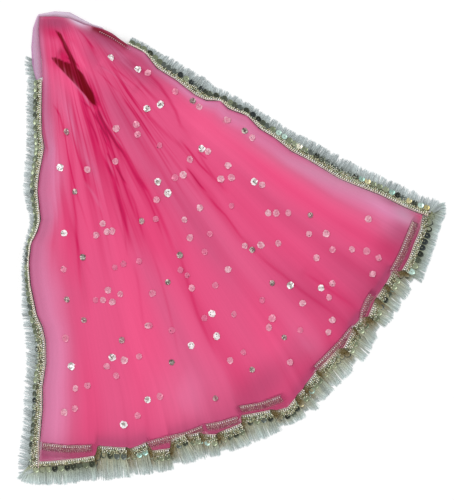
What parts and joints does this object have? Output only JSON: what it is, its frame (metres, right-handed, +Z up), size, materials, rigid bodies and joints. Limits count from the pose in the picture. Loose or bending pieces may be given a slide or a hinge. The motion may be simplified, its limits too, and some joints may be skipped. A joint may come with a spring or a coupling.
{
  "type": "dupatta stole",
  "caption": "Sheer pink net stole laid out in a fan from a gathered corner, edged all round with beaded braid, sequins and short fringe, its hem knife-pleated.",
  "frame": {"origin": "centre of the bounding box in plan, on the surface that the stole lies on", "axes": "+Z up from the surface, +Y towards the gathered corner's end of the laid-out stole, +X across it towards the free right corner"},
  "size_m": [0.6322, 0.7087, 0.0205],
  "materials": {
    "net": "sheer matt net",
    "net_deep": "matt net, several layers",
    "net_pale": "sheer matt net, one layer",
    "braid": "beaded metallic braid",
    "braid_tinted": "beaded braid under net",
    "fringe": "soft cut fringe"
  },
  "bodies": {
    "root": {"net_face": "net", "net_underfolds": "net_deep", "net_loop": "net_pale", "braid_left": "braid", "braid_right": "braid", "braid_hem": "braid", "braid_tuck_left": "braid_tinted", "braid_tuck_middle": "braid_tinted", "braid_tuck_right": "braid_tinted", "fringe_left": "fringe", "fringe_right": "fringe", "fringe_hem_01": "fringe", "fringe_hem_02": "fringe", "fringe_hem_03": "fringe", "fringe_hem_04": "fringe", "fringe_hem_05": "fringe", "fringe_hem_06": "fringe", "fringe_hem_07": "fringe", "fringe_hem_08": "fringe", "fringe_hem_09": "fringe", "fringe_hem_10": "fringe", "fringe_hem_11": "fringe", "fringe_hem_12": "fringe", "fringe_hem_13": "fringe", "fringe_hem_14": "fringe", "fringe_hem_15": "fringe", "fringe_hem_16": "fringe", "fringe_hem_17": "fringe", "fringe_hem_18": "fringe", "fringe_hem_19": "fringe"}
  },
  "joints": []
}
